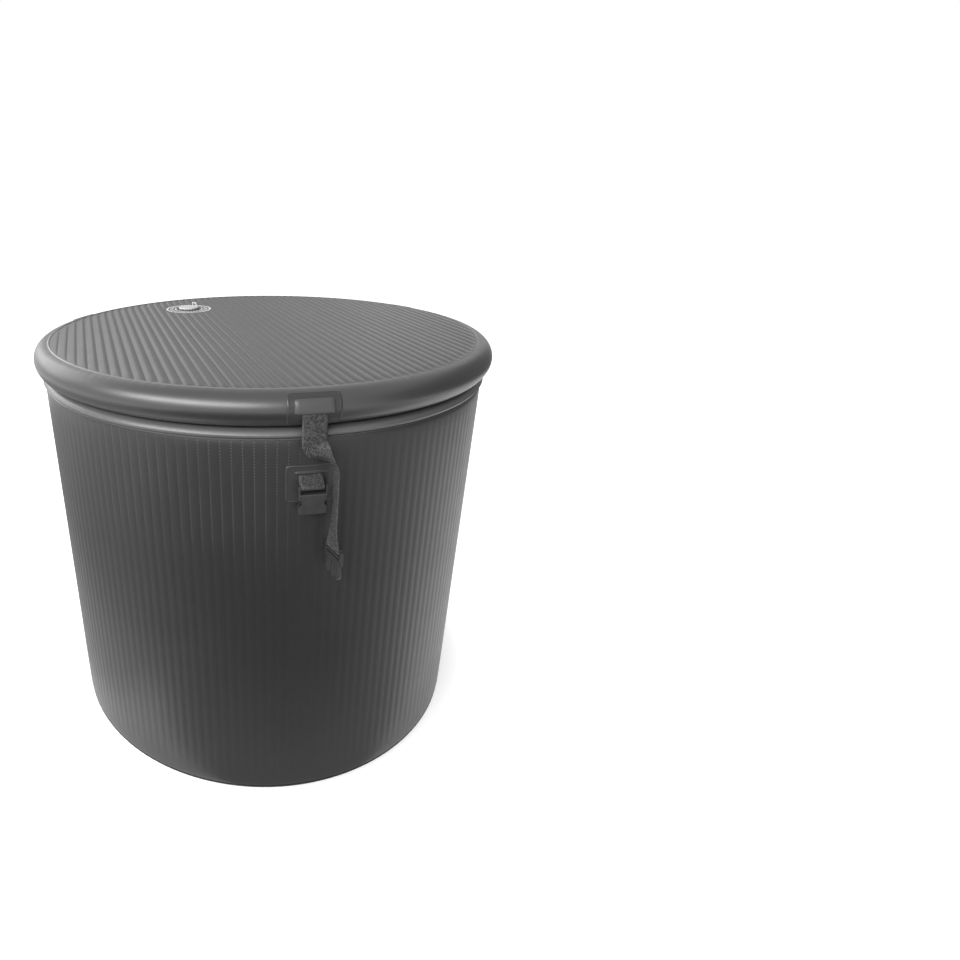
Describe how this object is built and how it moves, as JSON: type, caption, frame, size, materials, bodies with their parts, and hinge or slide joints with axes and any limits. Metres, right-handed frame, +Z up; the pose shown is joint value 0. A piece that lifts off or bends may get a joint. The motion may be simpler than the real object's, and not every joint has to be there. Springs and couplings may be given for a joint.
{
  "type": "inflatable ice bath",
  "caption": "Round free-standing inflatable ice bath with ribbed drop-stitch walls, a padded floor, a lift-off inflated lid with straps and buckles, air valves and a drain.",
  "frame": {"origin": "middle of the tub's underside, on the floor", "axes": "+Z up along the tub's axis, -Y towards the first strap, +X to the right seen from there"},
  "size_m": [0.8248, 0.8704, 0.7627],
  "materials": {
    "ribbed_sheet": "semi-matte coated sheet",
    "rim_sheet": "smooth coated sheet",
    "patch_sheet": "smooth coated sheet",
    "pad_sheet": "soft coated cloth",
    "foam": "open foam",
    "thread": "polyester thread rows",
    "webbing": "woven polyester webbing",
    "buckle_plastic": "moulded",
    "valve_plastic": "moulded",
    "cap_plastic": "moulded",
    "drain_plastic": "moulded",
    "gasket": "soft seal",
    "spring_wire": "drawn wire"
  },
  "bodies": {
    "tub": {"wall_outer_skin": "ribbed_sheet", "wall_inner_skin": "ribbed_sheet", "top_rim_strip": "rim_sheet", "bottom_rim_strip": "rim_sheet", "wall_threads": "thread", "wall_seam_tape_outer": "rim_sheet", "wall_seam_tape_inner": "rim_sheet", "base_sheet": "ribbed_sheet", "floor_weld_ring": "rim_sheet", "floor_pad_bottom": "pad_sheet", "floor_pad_foam": "foam", "floor_pad_top": "pad_sheet", "wall_valve_body": "valve_plastic", "wall_valve_gasket": "gasket", "wall_valve_nut": "valve_plastic", "wall_valve_spring": "spring_wire", "drain_body": "drain_plastic", "drain_inner_gasket": "gasket", "drain_outer_gasket": "gasket", "drain_clamp": "drain_plastic", "anchor_patch_1": "patch_sheet", "anchor_patch_2": "patch_sheet", "anchor_patch_3": "patch_sheet", "anchor_loop_1": "webbing", "anchor_loop_2": "webbing", "anchor_loop_3": "webbing"},
    "lid": {"lid_top_skin": "ribbed_sheet", "lid_bottom_skin": "ribbed_sheet", "lid_edge_strip": "rim_sheet", "lid_threads": "thread", "lid_valve_body": "valve_plastic", "lid_valve_gasket": "gasket", "lid_valve_nut": "valve_plastic", "lid_valve_spring": "spring_wire", "strap_patch_1": "patch_sheet", "strap_patch_2": "patch_sheet", "strap_patch_3": "patch_sheet", "strap_pocket_1": "patch_sheet", "strap_pocket_2": "patch_sheet", "strap_pocket_3": "patch_sheet"},
    "strap_1": {"strap_1": "webbing"},
    "clip_1": {"buckle_clip_1": "buckle_plastic"},
    "socket_1": {"buckle_socket_1": "buckle_plastic"},
    "strap_2": {"strap_2": "webbing"},
    "clip_2": {"buckle_clip_2": "buckle_plastic"},
    "socket_2": {"buckle_socket_2": "buckle_plastic"},
    "strap_3": {"strap_3": "webbing"},
    "clip_3": {"buckle_clip_3": "buckle_plastic"},
    "socket_3": {"buckle_socket_3": "buckle_plastic"},
    "lid_valve_cap": {"lid_valve_cap": "cap_plastic"},
    "lid_valve_plunger": {"lid_valve_plunger": "valve_plastic"},
    "wall_valve_cap": {"wall_valve_cap": "cap_plastic"},
    "wall_valve_plunger": {"wall_valve_plunger": "valve_plastic"},
    "drain_cap": {"drain_cap": "drain_plastic"}
  },
  "joints": [
    {"name": "lid_lift", "type": "slide", "parent": "tub", "child": "lid", "axis": [0, 0, 1], "range_m": [0, 0.5]},
    {"name": "strap_swing_1", "type": "hinge", "parent": "lid", "child": "strap_1", "pos_m": [0, -0.4148, 0.72059], "axis": [-1, 0, 0], "range_deg": [0, 95]},
    {"name": "clip_pivot_1", "type": "hinge", "parent": "strap_1", "child": "clip_1", "pos_m": [0.03154, -0.42368, 0.52239], "axis": [-0.2588, 0.9659, 0], "range_deg": [0, 60]},
    {"name": "socket_flip_1", "type": "hinge", "parent": "tub", "child": "socket_1", "pos_m": [0, -0.413, 0.616], "axis": [-1, 0, 0], "range_deg": [0, 115]},
    {"name": "strap_swing_2", "type": "hinge", "parent": "lid", "child": "strap_2", "pos_m": [0.35922, 0.2074, 0.72059], "axis": [0.5, -0.866, 0], "range_deg": [0, 95]},
    {"name": "clip_pivot_2", "type": "hinge", "parent": "strap_2", "child": "clip_2", "pos_m": [0.35115, 0.23916, 0.52239], "axis": [-0.7071, -0.7071, 0], "range_deg": [0, 60]},
    {"name": "socket_flip_2", "type": "hinge", "parent": "tub", "child": "socket_2", "pos_m": [0.35767, 0.2065, 0.616], "axis": [0.5, -0.866, 0], "range_deg": [0, 115]},
    {"name": "strap_swing_3", "type": "hinge", "parent": "lid", "child": "strap_3", "pos_m": [-0.35922, 0.2074, 0.72059], "axis": [0.5, 0.866, 0], "range_deg": [0, 95]},
    {"name": "clip_pivot_3", "type": "hinge", "parent": "strap_3", "child": "clip_3", "pos_m": [-0.38269, 0.18453, 0.52239], "axis": [0.9659, -0.2588, 0], "range_deg": [0, 60]},
    {"name": "socket_flip_3", "type": "hinge", "parent": "tub", "child": "socket_3", "pos_m": [-0.35767, 0.2065, 0.616], "axis": [0.5, 0.866, 0], "range_deg": [0, 115]},
    {"name": "lid_valve_cap_twist", "type": "hinge", "parent": "lid", "child": "lid_valve_cap", "pos_m": [-0.12563, 0.23333, 0.7503], "axis": [0, 0, 1], "range_deg": [0, 90]},
    {"name": "lid_valve_press", "type": "slide", "parent": "lid", "child": "lid_valve_plunger", "axis": [0, 0, -1], "range_m": [0, 0.005], "stiffness_N_per_m": 250, "springref_m": -0.003, "deforming": ["lid_valve_spring"]},
    {"name": "wall_valve_cap_twist", "type": "hinge", "parent": "tub", "child": "wall_valve_cap", "pos_m": [0, 0.3988, 0.56], "axis": [0, 1, 0], "range_deg": [0, 90]},
    {"name": "wall_valve_press", "type": "slide", "parent": "tub", "child": "wall_valve_plunger", "axis": [0, -1, 0], "range_m": [0, 0.005], "stiffness_N_per_m": 250, "springref_m": -0.003, "deforming": ["wall_valve_spring"]},
    {"name": "drain_cap_twist", "type": "hinge", "parent": "tub", "child": "drain_cap", "pos_m": [0, 0.3988, 0.075], "axis": [0, 1, 0], "range_deg": [0, 360]}
  ]
}
